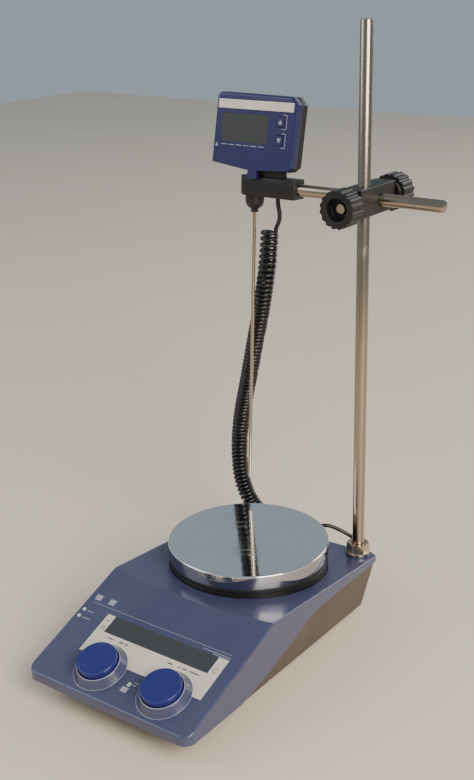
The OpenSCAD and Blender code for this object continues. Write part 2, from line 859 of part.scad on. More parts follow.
module holder_block() {
  s = block_s / 2;
  nose = 5;
  color([0.1, 0.1, 0.1]) on_holder() difference() {
    union() {
      translate([0, 0, -s]) linear_extrude(block_s) polygon([[block_right, -s], [block_right, s],
        [block_right - block_l + nose, s], [block_right - block_l, s - nose],
        [block_right - block_l, nose - s], [block_right - block_l + nose, -s]]);
      translate([probe_x, 0, 0]) {
        bar(dome_r, -s - dome_drop, -s);
        translate([0, 0, -s - dome_drop]) sphere(r = dome_r);
      }
      box([gauge_left + bracket_u[0], gauge_left + bracket_u[1]], [-6, 0], [s - 1, gauge_z + 8]);
    }
    lean_face() gauge_slab(-1, lot) gauge_outline();
    translate([block_right - arm_in - eps, 0, 0]) rotate([0, 90, 0]) bar(arm_d / 2 + fit, 0, lot);
    translate([probe_x, 0, 0]) bar(probe_d / 2 + 0.02, -lot, -s - 1);
  }
}

module probe_rod() {
  s = block_s / 2;
  low = -s - dome_drop - dome_r - probe_l;
  color("silver") on_holder() translate([probe_x, 0, 0]) {
    bar(probe_d / 2, low + probe_d / 2, -s - 1);
    translate([0, 0, low + probe_d / 2]) sphere(d = probe_d);
  }
}

// Outline of the thermometer head: a shallow V below, corners cut and rounded
module gauge_outline() {
  r = 5;
  polygon(concat([[0, 8], [36, 4], [gauge_w - 6, 5], [gauge_w - 1, 9], [gauge_w, gauge_h - 7],
    [gauge_w - 6, gauge_h - 1]], [for (a = [90 : 15 : 180]) [r + 1 + r * cos(a), gauge_h - r + r * sin(a)]]));
}

// The head leans back a little more than its holder
module lean_face() {
  translate([gauge_left, gauge_front_y, gauge_z]) rotate([-face_lean, 0, 0]) children();
}

module on_gauge() {
  on_holder() lean_face() children();
}

module gauge_slab(y0, y1) {
  translate([0, y1, 0]) rotate([90, 0, 0]) linear_extrude(y1 - y0) children();
}

module key_hole(z, grow, y0, y1) {
  box([key_u - grow, key_u + key_w + grow], [y0, y1], [z - key_h / 2 - grow, z + key_h / 2 + grow]);
}

module gauge_front() {
  wall = 2;
  color([0.14, 0.14, 0.34]) on_gauge() difference() {
    union() {
      gauge_slab(0, gauge_front_t) gauge_outline();
      box(nub_u, [0, 3], [-2.5, 6]);
    }
    gauge_slab(wall, gauge_front_t + 1) translate([wall + 1, wall + 8])
      square([gauge_w - 2 * wall - 8, gauge_h - 2 * wall - 12]);
    box([lcd[0], lcd[0] + lcd[2]], [-1, wall + 1], [lcd[1], lcd[1] + lcd[3]]);
    for (z = key_z) key_hole(z, gap, -1, wall + 1);
  }
}

module gauge_rear() {
  color([0.08, 0.08, 0.08]) on_gauge() gauge_slab(gauge_front_t, gauge_front_t + gauge_rear_t)
    translate([0.5, 0.4]) gauge_outline();
}

module gauge_display() {
  color([0.2, 0.22, 0.2]) on_gauge() {
    box([lcd[0] + fit, lcd[0] + lcd[2] - fit], [0.3, 2], [lcd[1] + fit, lcd[1] + lcd[3] - fit]);
    box([lcd[0], gauge_w - 10], [4, 4 + board_t], [14, gauge_h - 12]);
    box([lcd[0] + 1, lcd[0] + lcd[2] - 1], [2, 4], [lcd[1] + 1, lcd[1] + lcd[3] - 1]);
  }
}

module key(z) {
  color("lightgray") on_gauge() {
    key_hole(z, 0, -key_out, key_back);
    key_hole(z, 1, key_back - 1, key_back);
  }
}

module up_key() {
  key(key_z[1]);
}

module down_key() {
  key(key_z[0]);
}

// Sweeps a round section along points, with one ring square to the way at each point
function unit(v) = v / norm(v);
function heading(p, i) = unit(p[min(i + 1, len(p) - 1)] - p[max(i - 1, 0)]);
function side_of(t) = unit(cross(t, abs(t[2]) > 0.9 ? [0, 1, 0] : [0, 0, 1]));
function carried(p, i) = i == 0 ? side_of(heading(p, 0))
  : let (t = heading(p, i), s = carried(p, i - 1)) unit(s - (s * t) * t);
function ring(p, i, r, n) = let (t = heading(p, i), a = carried(p, i), b = cross(t, a))
  [for (k = [0 : n - 1]) p[i] + r * (cos(k * 360 / n) * a + sin(k * 360 / n) * b)];
function ring_faces(m, n) = [for (i = [0 : m - 2], k = [0 : n - 1])
  [i * n + k, (i + 1) * n + k, (i + 1) * n + (k + 1) % n, i * n + (k + 1) % n]];

module swept(p, r, n) {
  m = len(p);
  polyhedron(points = [for (i = [0 : m - 1]) each ring(p, i, r, n)],
    faces = concat([[for (k = [0 : n - 1]) k]], ring_faces(m, n),
      [[for (k = [0 : n - 1]) m * n - 1 - k]]), convexity = 6);
}

module cord_lead() {
  color([0.06, 0.06, 0.06]) bench() swept(lead_path, cord_d / 2, 8);
}

module cord_curl() {
  color([0.06, 0.06, 0.06]) bench() swept(curl_path, curl_d / 2, 12);
}

module cord_tail() {
  color([0.06, 0.06, 0.06]) bench() swept(tail_path, cord_d / 2, 8);
}

lower_housing();
top_cover();
bottom_plate();
rubber_feet();
housing_screws();
heating_plate();
insulating_collar();
heating_element();
element_clamp();
plate_sensor();
plate_posts();
heat_shield();
motor_bracket();
motor_housing();
stator_winding();
upper_bearing();
lower_bearing();
motor_shaft();
rotor_core();
magnet_carrier();
drive_magnets();
power_board();
power_transformer();
control_board();
display_module();
display_window();
panel_label();
indicator_lenses();
heat_encoder();
speed_encoder();
limit_potentiometer();
limit_screw();
heat_shaft();
heat_knob();
speed_shaft();
speed_knob();
mains_inlet();
switch_frame();
switch_rocker();
probe_socket();
rod_fasteners();
stand_rod();
boss_head();
rod_screw();
rod_screw_knob();
arm_screw();
arm_screw_knob();
holding_rod();
holder_block();
probe_rod();
gauge_front();
gauge_rear();
gauge_display();
up_key();
down_key();
cord_lead();
cord_curl();
cord_tail();
cord_plug();
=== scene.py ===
import json
import math
import bpy
from mathutils import Matrix, Vector


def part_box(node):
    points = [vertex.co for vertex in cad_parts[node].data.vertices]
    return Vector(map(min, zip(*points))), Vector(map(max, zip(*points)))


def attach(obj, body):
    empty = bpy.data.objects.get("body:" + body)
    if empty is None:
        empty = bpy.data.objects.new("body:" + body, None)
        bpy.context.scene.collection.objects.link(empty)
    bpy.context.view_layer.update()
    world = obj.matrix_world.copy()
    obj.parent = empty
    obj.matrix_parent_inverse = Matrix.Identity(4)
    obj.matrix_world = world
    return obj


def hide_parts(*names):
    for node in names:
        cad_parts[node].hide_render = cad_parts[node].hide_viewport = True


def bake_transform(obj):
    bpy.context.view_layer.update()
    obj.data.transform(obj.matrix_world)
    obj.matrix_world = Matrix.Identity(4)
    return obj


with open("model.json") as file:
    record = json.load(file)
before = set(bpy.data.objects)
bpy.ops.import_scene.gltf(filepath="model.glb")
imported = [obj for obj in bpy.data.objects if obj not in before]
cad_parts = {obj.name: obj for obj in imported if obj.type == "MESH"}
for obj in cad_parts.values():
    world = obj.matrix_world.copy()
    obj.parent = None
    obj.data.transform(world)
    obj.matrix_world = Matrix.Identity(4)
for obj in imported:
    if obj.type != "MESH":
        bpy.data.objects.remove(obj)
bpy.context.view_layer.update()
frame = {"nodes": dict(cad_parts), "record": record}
mm = 0.001
nodeBody = {node: body for body, nodes in frame["record"]["behaviour"]["bodies"].items() for node in nodes}
nodeSlot = {row["node"]: row["material_slot"] for row in frame["record"]["subparts"]}
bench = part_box("rubber_feet")[0].z


def deselect():
    if bpy.context.object and bpy.context.object.mode != "OBJECT":
        bpy.ops.object.mode_set(mode="OBJECT")
    bpy.ops.object.select_all(action="DESELECT")


def pick(piece):
    deselect()
    piece.select_set(True)
    bpy.context.view_layer.objects.active = piece
    return piece


# ---- Camera, floor and light
print("stage: camera, floor and light")
shot = {"around": 36.54, "above": 20.3, "roll": -1.2, "aim": (-7.02 * mm, 63.5 * mm), "away": 0.988,
        "focal": 55.4, "film": 36, "near": 0.01, "aimHeight": 0.15}
ground = {"cuts": 8, "size": 6}
lights = {
    "keyLight": {"spot": (2.1, -0.9, 1.5), "size": 1.5, "power": 95, "colour": (1.0, 0.93, 0.84)},
    "fillLight": {"spot": (-1.7, -1.4, 1.6), "size": 1.8, "power": 22, "colour": (0.95, 0.96, 1.0)},
    "rimLight": {"spot": (0.7, 2.4, 1.4), "size": 1.2, "power": 22, "colour": (1.0, 0.97, 0.93)},
}
lightAim = Vector((0, 0, 0.1))
sky = {"colour": (0.56, 0.66, 0.74, 1), "strength": 0.55}


# The frame across, up and back from the picture, then the level right and up before the roll
def cameraAxes(around, above, roll):
    a, e, turn = math.radians(around), math.radians(above), math.radians(roll)
    back = Vector((math.sin(a) * math.cos(e), -math.cos(a) * math.cos(e), math.sin(e)))
    right = Vector((math.cos(a), math.sin(a), 0))
    up = back.cross(right)
    return (math.cos(turn) * right + math.sin(turn) * up, math.cos(turn) * up - math.sin(turn) * right, back,
            right, up)


def makeCamera():
    across, upward, back, right, up = cameraAxes(shot["around"], shot["above"], shot["roll"])
    lens = bpy.data.cameras.new("mainCamera")
    lens.lens = shot["focal"]
    lens.sensor_width = shot["film"]
    lens.clip_start = shot["near"]
    camera = bpy.data.objects.new("mainCamera", lens)
    bpy.context.scene.collection.objects.link(camera)
    spot = Vector((0, 0, bench + shot["aimHeight"])) + shot["aim"][0] * right + shot["aim"][1] * up
    spot += shot["away"] * back
    turn = Matrix((across, upward, back)).transposed().to_4x4()
    camera.matrix_world = Matrix.Translation(spot) @ turn
    bpy.context.scene.camera = camera


def makeFloor():
    deselect()
    bpy.ops.mesh.primitive_grid_add(x_subdivisions=ground["cuts"], y_subdivisions=ground["cuts"],
                                    size=ground["size"], location=(0, 0, bench))
    floor = bpy.context.object
    floor.name = "floor"
    return floor


def areaLight(name, spot, size, power, colour):
    lamp = bpy.data.lights.new(name, "AREA")
    lamp.size, lamp.energy, lamp.color = size, power, colour
    holder = bpy.data.objects.new(name, lamp)
    holder.location = spot
    holder.rotation_euler = (lightAim - Vector(spot)).to_track_quat("-Z", "Y").to_euler()
    bpy.context.scene.collection.objects.link(holder)


def setWorld():
    world = bpy.context.scene.world or bpy.data.worlds.new("studio")
    bpy.context.scene.world = world
    world.use_nodes = True
    shade = world.node_tree.nodes["Background"]
    shade.inputs["Color"].default_value = sky["colour"]
    shade.inputs["Strength"].default_value = sky["strength"]


makeCamera()
floor = makeFloor()
for name, lamp in lights.items():
    areaLight(name, **lamp)
setWorld()


# ---- Shader maths and finishes
# A socket's output, which sums and products turn into maths nodes
class Value:
    def __init__(self, tree, socket):
        self.tree = tree
        self.socket = socket

    def calc(self, operation, other, swap=False):
        made = self.tree.nodes.new("ShaderNodeMath")
        made.operation = operation
        for entry, item in zip(made.inputs, (other, self) if swap else (self, other)):
            if isinstance(item, Value):
                self.tree.links.new(item.socket, entry)
            else:
                entry.default_value = item
        return Value(self.tree, made.outputs[0])

    def __add__(self, other):
        return self.calc("ADD", other)

    def __sub__(self, other):
        return self.calc("SUBTRACT", other)

    def __rsub__(self, other):
        return self.calc("SUBTRACT", other, True)

    def __mul__(self, other):
        return self.calc("MULTIPLY", other)

    def __gt__(self, other):
        return self.calc("GREATER_THAN", other)

    __radd__ = __add__


# A material under way: its shader, and the object coordinates its patterns are laid on
class Finish:
    def __init__(self, name, **plain):
        self.material = bpy.data.materials.new(name)
        self.material.use_nodes = True
        self.tree = self.material.node_tree
        self.shader = self.tree.nodes["Principled BSDF"]
        self.place = self.node("ShaderNodeTexCoord", output="Object")
        self.feed(plain)

    # Sets plain values and links on the shader, by socket name with its spaces left out
    def feed(self, sockets):
        named = {entry.name.replace(" ", ""): entry for entry in self.shader.inputs}
        for name, item in sockets.items():
            self.fill(named[name[0].upper() + name[1:]], item)

    def fill(self, entry, item):
        if isinstance(item, Value):
            self.tree.links.new(item.socket, entry)
        elif isinstance(item, tuple) and len(item) == 3 and entry.type == "RGBA":
            entry.default_value = (*item, 1)
        else:
            entry.default_value = item

    def node(self, kind, settings=None, inputs=None, output=0):
        made = self.tree.nodes.new(kind)
        for name, item in (settings or {}).items():
            setattr(made, name, item)
        for name, item in (inputs or {}).items():
            self.fill(made.inputs[name], item)
        return Value(self.tree, made.outputs[output])

    def noise(self, scale, detail=2.0, stretch=None):
        spot = self.place
        if stretch:
            spot = self.node("ShaderNodeMapping", inputs={"Vector": self.place, "Scale": stretch})
        return self.node("ShaderNodeTexNoise", inputs={"Vector": spot, "Scale": scale, "Detail": detail})

    # Keeps only the middle of a noise, spread over the whole range
    def contrast(self, value, low, high):
        return self.node("ShaderNodeMapRange", {"interpolation_type": "SMOOTHSTEP"},
                         {"Value": value, "From Min": low, "From Max": high})

    def mix(self, factor, first, second):
        return self.node("ShaderNodeMix", {"data_type": "RGBA"}, {0: factor, 6: first, 7: second}, 2)

    def bump(self, height, strength, distance):
        return self.node("ShaderNodeBump",
                         inputs={"Height": height, "Strength": strength, "Distance": distance})


# A colour as a screen shows it, 0 to 255, made linear
def fromScreen(red, green, blue):
    return tuple((c / 255 / 12.92) if c < 11 else ((c / 255 + 0.055) / 1.055) ** 2.4
                 for c in (red, green, blue))


# Enamel over metal: a soft orange peel, a clear coat and the haze of long use
def enamel(name, colour, haze):
    made = Finish(name, IOR=1.5, coatRoughness=0.12)
    cloud = made.contrast(made.noise(14, 4), 0.35, 0.72)
    speck = made.contrast(made.noise(900, 2), 0.70, 0.78)
    peel = made.noise(420, 1)
    tone = made.mix(cloud * 0.35, colour, haze)
    tone = made.mix(speck * 0.25, tone, fromScreen(175, 175, 190))
    made.feed({"baseColor": tone, "roughness": 0.27 + cloud * 0.13 + speck * 0.2,
               "coatWeight": 0.5 - cloud * 0.2, "normal": made.bump(peel, 0.10, 0.0004)})
    return made.material


# Moulded plastic with a spark-eroded grain; scuffs lighten it
def moulded(name, colour, scuff, rough=0.5, grain=1400, depth=0.16, coat=0.0):
    made = Finish(name, IOR=1.48)
    texture = made.noise(grain, 3)
    scuffs = made.contrast(made.noise(60, 5, (1, 1, 0.25)), 0.60, 0.80)
    cloud = made.noise(25, 3)
    tone = made.mix(scuffs * 0.30, made.mix(cloud * 0.25, colour, tuple(c * 0.75 for c in colour)), scuff)
    made.feed({"baseColor": tone, "roughness": (rough - 0.07) + cloud * 0.14 + scuffs * 0.1,
               "coatWeight": coat, "normal": made.bump(texture, depth, 0.0002)})
    return made.material


# Ground bar: fine rings round the bar, long faint streaks and a few dull fingermarks
def groundSteel(name, stretch, colour=(0.62, 0.58, 0.53), rough=0.2):
    made = Finish(name, metallic=1.0)
    rings = made.noise(700, 2, stretch)
    streak = made.noise(90, 3, tuple(1.0 if s > 1 else 6.0 for s in stretch))
    marks = made.contrast(made.noise(40, 4), 0.55, 0.8)
    tone = made.mix(streak * 0.35, colour, tuple(c * 0.72 for c in colour))
    made.feed({"baseColor": made.mix(marks * 0.2, tone, (0.35, 0.33, 0.31)),
               "roughness": (rough - 0.05) + rings * 0.10 + marks * 0.15,
               "normal": made.bump(rings, 0.12, 0.0001)})
    return made.material


# Polished plate: turning rings round the middle, two worn tracks and dulled patches, and a darker edge
plateWear = {"turning": 5200, "tracks": (22, 30), "edgeBelow": 1.3}


def polishedPlate(name):
    made = Finish(name, metallic=1.0)
    first, second = plateWear["tracks"]
    flat = made.node("ShaderNodeVectorMath", {"operation": "MULTIPLY"}, {0: made.place, 1: (1, 1, 0)})
    radius = made.node("ShaderNodeVectorMath", {"operation": "LENGTH"}, {0: flat}, output="Value")
    turning = (radius * plateWear["turning"]).calc("SINE", 0.0)
    smear = made.contrast(made.noise(22, 5), 0.50, 0.75)
    scratch = made.contrast(made.noise(300, 3, (1, 9, 1)), 0.68, 0.75)
    tracks = (1 - (radius * 1000 - first).calc("ABSOLUTE", 0)).calc("MAXIMUM", 0)
    tracks = tracks + (1 - (radius * 1000 - second).calc("ABSOLUTE", 0)).calc("MAXIMUM", 0)
    worn = made.contrast(made.noise(30, 2), 0.45, 0.55) * tracks
    height = made.node("ShaderNodeSeparateXYZ", inputs={"Vector": made.place}, output="Z")
    tone = made.mix(smear * 0.3 + worn * 0.3, (0.80, 0.81, 0.82), (0.62, 0.62, 0.63))
    tone = made.mix((height * -1000) > plateWear["edgeBelow"], tone, (0.40, 0.39, 0.43))
    made.feed({"baseColor": tone, "roughness": 0.05 + smear * 0.07 + worn * 0.25 + scratch * 0.08,
               "normal": made.bump(turning * 0.15 + scratch * 0.5, 0.05, 0.00005)})
    return made.material


# Dull rubber with a pale bloom
def rubber(name, colour, rough):
    made = Finish(name, IOR=1.5)
    bloom = made.contrast(made.noise(120, 4), 0.5, 0.8)
    made.feed({"baseColor": made.mix(bloom * 0.3, colour, tuple(c * 2.2 + 0.01 for c in colour)),
               "roughness": rough + bloom * 0.15, "normal": made.bump(made.noise(900, 2), 0.08, 0.0002)})
    return made.material


# Thin glossy plastic over something dark
def glossy(name, colour, rough, coat=0.6, haze=0.15):
    made = Finish(name, IOR=1.5, coatRoughness=0.06)
    wipe = made.contrast(made.noise(50, 4, (1, 0.3, 1)), 0.45, 0.8)
    tone = made.mix(wipe * haze, colour, tuple(min(1, c * 1.6 + 0.02) for c in colour))
    made.feed({"baseColor": tone, "roughness": rough + wipe * 0.12,
               "coatWeight": coat - wipe * 0.2, "normal": made.bump(made.noise(260, 1), 0.04, 0.0003)})
    return made.material


# Printed film and ink, with a fine fibre
def film(name, colour):
    made = Finish(name, IOR=1.45)
    cloud = made.contrast(made.noise(35, 5), 0.4, 0.75)
    fibre = made.noise(1500, 2)
    made.feed({"baseColor": made.mix(cloud * 0.3, colour, tuple(c * 0.82 for c in colour)),
               "roughness": 0.4 + cloud * 0.15, "normal": made.bump(fibre, 0.06, 0.0001)})
    return made.material


# Anything with a pitted skin: cast and plated metal, painted castings, mica
def castMetal(name, colour, metal, rough):
    made = Finish(name, metallic=metal)
    pits = made.noise(500, 4)
    cloud = made.contrast(made.noise(40, 4), 0.4, 0.7)
    made.feed({"baseColor": made.mix(cloud * 0.35, colour, tuple(c * 0.6 for c in colour)),
               "roughness": rough + cloud * 0.15, "normal": made.bump(pits, 0.2, 0.0003)})
    return made.material


# Board with a solder mask: fine copper tracks show as lighter lines
def circuit(name, colour):
    made = Finish(name, IOR=1.5, coatRoughness=0.1)
    cells = made.node("ShaderNodeTexBrick",
                      inputs={"Vector": made.place, "Scale": 90.0, "Mortar Size": 0.012})
    made.feed({"baseColor": made.mix(cells * 0.5, colour, (0.10, 0.42, 0.20)), "roughness": 0.35,
               "coatWeight": 0.4, "normal": made.bump(cells, 0.15, 0.0002)})
    return made.material


print("stage: finishes")
royal = fromScreen(30, 34, 104)
navy = fromScreen(27, 25, 76)
soot = (0.006, 0.0055, 0.0055)
barColour = (0.38, 0.31, 0.235)
finishes = {
    "cover_paint": enamel("coverEnamel", fromScreen(60, 62, 92), fromScreen(80, 82, 106)),
    "tub_plastic": moulded("tubPlastic", fromScreen(70, 60, 50), fromScreen(96, 84, 72), 0.42, 1100, 0.12),
    "plate_alloy": polishedPlate("platePolish"),
    "collar_plastic": moulded("collarPlastic", soot, (0.06, 0.05, 0.05), 0.45),
    "rod_steel": groundSteel("rodSteel", (1, 1, 40), barColour),
    "sheet_steel": castMetal("zincPlate", (0.60, 0.61, 0.62), 1.0, 0.35),
    "core_iron": castMetal("coreIron", (0.10, 0.10, 0.11), 0.8, 0.45),
    "magnet_coat": glossy("magnetCoat", (0.03, 0.035, 0.04), 0.2),
    "copper_wire": groundSteel("copperWire", (1, 1, 20), (0.70, 0.33, 0.16), 0.3),
    "mica": castMetal("mica", (0.40, 0.30, 0.18), 0.0, 0.6),
    "circuit_board": circuit("circuitBoard", (0.01, 0.10, 0.035)),
    "transformer_tape": moulded("transformerTape", (0.55, 0.33, 0.03), (0.6, 0.4, 0.1), 0.4),
    "black_plastic": moulded("blackPlastic", soot, (0.03, 0.028, 0.026), 0.46),
    "knob_plastic": moulded("knobPlastic", royal, fromScreen(86, 92, 150), 0.36, 900, 0.08, 0.15),
    "label_film": film("labelFilm", fromScreen(205, 198, 184)),
    "window_plastic": glossy("windowPlastic", fromScreen(52, 54, 56), 0.16),
    "lens_plastic": glossy("lensPlastic", fromScreen(205, 205, 200), 0.25),
    "trim_blue": glossy("trimBlue", (0.03, 0.08, 0.35), 0.3),
    "gauge_plastic": moulded("gaugePlastic", navy, fromScreen(80, 82, 140), 0.34, 700, 0.08, 0.2),
    "key_plastic": moulded("keyPlastic", navy, fromScreen(90, 92, 150), 0.3, 700, 0.05, 0.3),
    "lcd": glossy("displayGlass", fromScreen(44, 48, 44), 0.4, 0.1),
    "foot_rubber": rubber("footRubber", (0.02, 0.02, 0.02), 0.7),
    "cord_jacket": rubber("cordJacket", (0.004, 0.004, 0.004), 0.30),
    "head_paint": castMetal("headPaint", (0.007, 0.0065, 0.007), 0.0, 0.42),
}
levelSteel = groundSteel("levelSteel", (40, 1, 1), barColour)
warmSteel = groundSteel("warmSteel", (1, 1, 12), (0.56, 0.45, 0.33), 0.24)
# Pale ink for the print, also worn by the rings on the knob rims, which are a painted highlight
paleInkAndHighlight = film("paleInkAndHighlight", fromScreen(150, 151, 162))
printDark = film("printDark", fromScreen(70, 72, 92))


def wear(piece, material):
    piece.data.materials.clear()
    piece.data.materials.append(material)


for node, part in frame["nodes"].items():
    wear(part, finishes[nodeSlot[node]])


def paintFloor():
    made = Finish("floorPaint", IOR=1.45)
    cloud = made.contrast(made.noise(3, 5), 0.35, 0.75)
    fleck = made.noise(350, 2)
    made.feed({"baseColor": made.mix(cloud * 0.3, (0.80, 0.68, 0.54), (0.72, 0.60, 0.46)),
               "roughness": 0.42 + cloud * 0.12, "normal": made.bump(fleck, 0.05, 0.0003)})
    wear(floor, made.material)


paintFloor()


# ---- Ways to make a piece
# Gives a piece the finish of its CAD node's material slot and the node's body, and hides the node where the
# piece stands for it
def settle(piece, node, material=None, hides=True):
    wear(piece, material or finishes[nodeSlot[node]])
    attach(piece, nodeBody[node])
    if hides:
        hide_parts(node)
    return piece


def applyModifier(piece, kind, **settings):
    pick(piece)
    made = piece.modifiers.new(kind.lower(), kind)
    for name, item in settings.items():
        setattr(made, name, item)
    bpy.ops.object.modifier_apply(modifier=made.name)


def smooth(piece, angle=32):
    pick(piece)
    bpy.ops.object.shade_smooth_by_angle(angle=math.radians(angle))


# How close doubles lie, how far rounding may lift a corner off the node's box, and up to which angle in degrees
# neighbouring faces are shaded as one: it is so small that a rounded copy keeps its facets
roundRules = {"merge": 2e-6, "lift": 0.8 * mm, "shade": 0.15, "normalWeight": 50}


# A copy of a CAD node with its doubles merged, flat faces joined and its edges rounded where wanted
def rounded(node, name, width, wanted, segments=3, sharp=28, flat=0.6):
    source = frame["nodes"][node]
    piece = source.copy()
    piece.data = source.data.copy()
    piece.parent = None
    piece.name = piece.data.name = name
    for key in [k for k in piece.keys() if k.startswith("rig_")]:
        del piece[key]
    bpy.context.scene.collection.objects.link(piece)
    pick(piece)
    bpy.ops.object.mode_set(mode="EDIT")
    bpy.ops.mesh.select_all(action="SELECT")
    bpy.ops.mesh.remove_doubles(threshold=roundRules["merge"])
    bpy.ops.mesh.dissolve_limited(angle_limit=math.radians(flat))
    bpy.ops.mesh.customdata_custom_splitnormals_clear()
    bpy.ops.object.mode_set(mode="OBJECT")
    mesh = piece.data
    weights = mesh.attributes.new("bevel_weight_edge", "FLOAT", "EDGE")
    for index, angle in enumerate(edgeAngles(mesh)):
        if angle > math.radians(sharp):
            start, end = [mesh.vertices[v].co for v in mesh.edges[index].vertices]
            weights.data[index].value = wanted((start + end) / 2, angle)
    plain = mesh.copy()
    applyModifier(piece, "BEVEL", width=width, segments=segments, limit_method="WEIGHT",
                  use_clamp_overlap=False, miter_outer="MITER_ARC", loop_slide=False)
    # Small lifts are laid back into the box, and a large one means that the rounding failed
    low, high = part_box(node)
    lift = max(max(low[i] - v.co[i], v.co[i] - high[i]) for v in piece.data.vertices for i in range(3))
    if lift > roundRules["lift"]:
        print("kept plain:", name, round(lift, 5))
        piece.data = plain
        piece.data.name = name
    else:
        for v in piece.data.vertices:
            v.co = [min(max(v.co[i], low[i]), high[i]) for i in range(3)]
    smooth(piece, roundRules["shade"])
    applyModifier(piece, "WEIGHTED_NORMAL", weight=roundRules["normalWeight"], keep_sharp=True)
    return settle(piece, node)


# The angle between the two faces at each edge, or none where the edge has only one
def edgeAngles(mesh):
    around = [[] for edge in mesh.edges]
    byEnds = {edge.key: edge.index for edge in mesh.edges}
    for face in mesh.polygons:
        for key in face.edge_keys:
            around[byEnds[key]].append(face.normal)
    return [faces[0].angle(faces[1], 0) if len(faces) == 2 else 0 for faces in around]


# Turns an outline of radius and height about Z, then puts it in place
def turned(name, outline, place, steps=96, angle=35):
    mesh = bpy.data.meshes.new(name)
    mesh.from_pydata([(r, 0, z) for r, z in outline], [(i, i + 1) for i in range(len(outline) - 1)], [])
    piece = bpy.data.objects.new(name, mesh)
    bpy.context.scene.collection.objects.link(piece)
    pick(piece)
    bpy.ops.object.mode_set(mode="EDIT")
    bpy.ops.mesh.select_all(action="SELECT")
    bpy.ops.mesh.spin(steps=steps, angle=math.tau, center=(0, 0, 0), axis=(0, 0, 1), use_auto_merge=True)
    bpy.ops.mesh.select_all(action="SELECT")
    bpy.ops.mesh.remove_doubles(threshold=1e-6)
    bpy.ops.mesh.normals_make_consistent(inside=False)
    bpy.ops.object.mode_set(mode="OBJECT")
    mesh.transform(place)
    smooth(piece, angle)
    return piece


# Points along part of a circle, from one angle in degrees to another
def arc(centre, radius, start, end, count=5):
    steps = [math.radians(start + (end - start) * i / count) for i in range(count + 1)]
    return [(centre[0] + radius * math.cos(a), centre[1] + radius * math.sin(a)) for a in steps]


def joined(name, pieces):
    deselect()
    for piece in pieces:
        piece.select_set(True)
    bpy.context.view_layer.objects.active = pieces[0]
    bpy.ops.object.join()
    whole = bpy.context.object
    whole.name = whole.data.name = name
    return whole


# ---- Places of the control panel and of the thermometer
panel = {"foot": (0.008, -0.187, -0.057), "run": 0.107, "rise": 0.041}
gauge = {"lean": -3.3, "corner": (-0.086, -0.012, 0.0095), "faceLean": -7}
armLow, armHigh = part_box("holding_rod")
armAxis = Vector((0, (armLow.y + armHigh.y) / 2, (armLow.z + armHigh.z) / 2))
panelPlace = (Matrix.Translation(panel["foot"])
              @ Matrix.Rotation(math.atan2(panel["rise"], panel["run"]), 4, "X"))
holderPlace = Matrix.Translation(armAxis) @ Matrix.Rotation(math.radians(gauge["lean"]), 4, "X")
gaugePlace = (holderPlace @ Matrix.Translation(gauge["corner"])
              @ Matrix.Rotation(math.radians(gauge["faceLean"]), 4, "X"))
gaugeFace = gaugePlace @ Matrix.Rotation(math.radians(90), 4, "X")


def scaled(points):
    return [(a * mm, b * mm) for a, b in points]


# ---- Cover and lower housing
print("stage: housing")
coverShape = {"edge": 1.5 * mm, "tubEdge": 0.8 * mm, "skirt": 0.3, "rim": 0.25, "ridge": (-0.098, -0.066),
              "ridgeLow": -0.024, "crease": 0.7, "blunt": 0.35, "knobs": (-0.0315, 0.0315), "knobUp": 0.026,
              "rimReach": 0.0235, "half": 0.0788, "front": -0.1858, "rear": 0.0818, "seatReach": 0.0135}
# Centres of the cover's upright corners, and how far from them the outside starts
corners = {"side": 0.071, "front": -0.178, "rear": 0.074, "reach": 0.0082}
# The roof's height and fall toward the rear, and how deep below it an edge still counts as the roof's
roof = {"from": -0.085, "origin": -0.08, "height": -0.016, "fall": 0.0773, "depth": 0.0034}
rodSpot = sum(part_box("stand_rod"), Vector()) / 2


# Full rounding on the roof, panel and ridge, a little on the skirt and knob rims, none elsewhere
def coverWeight(spot, angle):
    onPanel = panelPlace.inverted() @ spot
    if math.hypot(spot.x - rodSpot.x, spot.y - rodSpot.y) < coverShape["seatReach"]:
        return 0.0
    if any(math.hypot(onPanel.x - x, onPanel.y - coverShape["knobUp"]) < coverShape["rimReach"]
           for x in coverShape["knobs"]) and onPanel.z > -0.001:
        return coverShape["rim"]
    inside = abs(spot.x) < coverShape["half"] and coverShape["front"] < spot.y < coverShape["rear"]
    aside, beyond = abs(spot.x) - corners["side"], max(corners["front"] - spot.y, spot.y - corners["rear"])
    atCorner = math.hypot(max(aside, 0), max(beyond, 0)) > corners["reach"]
    if inside and not atCorner:
        near, far = coverShape["ridge"]
        atRidge = near < spot.y < far and spot.z > coverShape["ridgeLow"]
        return 1.0 if atRidge and angle < coverShape["crease"] else 0.0
    if angle < coverShape["blunt"]:
        return 0.0
    roofHere = roof["height"] - (spot.y - roof["origin"]) * roof["fall"]
    onTop = onPanel.z > -0.0006 or (spot.y > roof["from"] and spot.z > roofHere - roof["depth"])
    return 1.0 if onTop else coverShape["skirt"]


# The lower housing is rounded below the line where the cover starts
def tubWeight(spot, angle):
    return 1.0 if spot.z < -0.01 else 0.0


rounded("top_cover", "coverShell", coverShape["edge"], coverWeight, 4, 12, flat=0.05)
rounded("lower_housing", "tubShell", coverShape["tubEdge"], tubWeight)

# ---- Plate and collar
print("stage: plate")
plate = {"radius": 67.5, "thick": 12.5, "lip": 1.1, "foot": 0.9, "sunk": 0.05}
collar = {"inner": 63.2, "outer": 67, "flange": 68.6, "bead": 0.4, "topRound": 0.5}


def makePlate():
    r, t, lip, foot, sunk = (plate[key] for key in ("radius", "thick", "lip", "foot", "sunk"))
    outline = [(0, -t), (r - 1.6, -t), *arc((r - foot, -t + foot), foot, -90, 0), (r, -lip),
               *arc((r - lip, -lip), lip, 0, 90, 6), (r - lip - 0.4, -0.02), (r - lip - 0.8, -sunk), (0, -sunk)]
    piece = turned("plateDisc", scaled(outline), Matrix.Identity(4), 192, 50)
    settle(piece, "heating_plate")


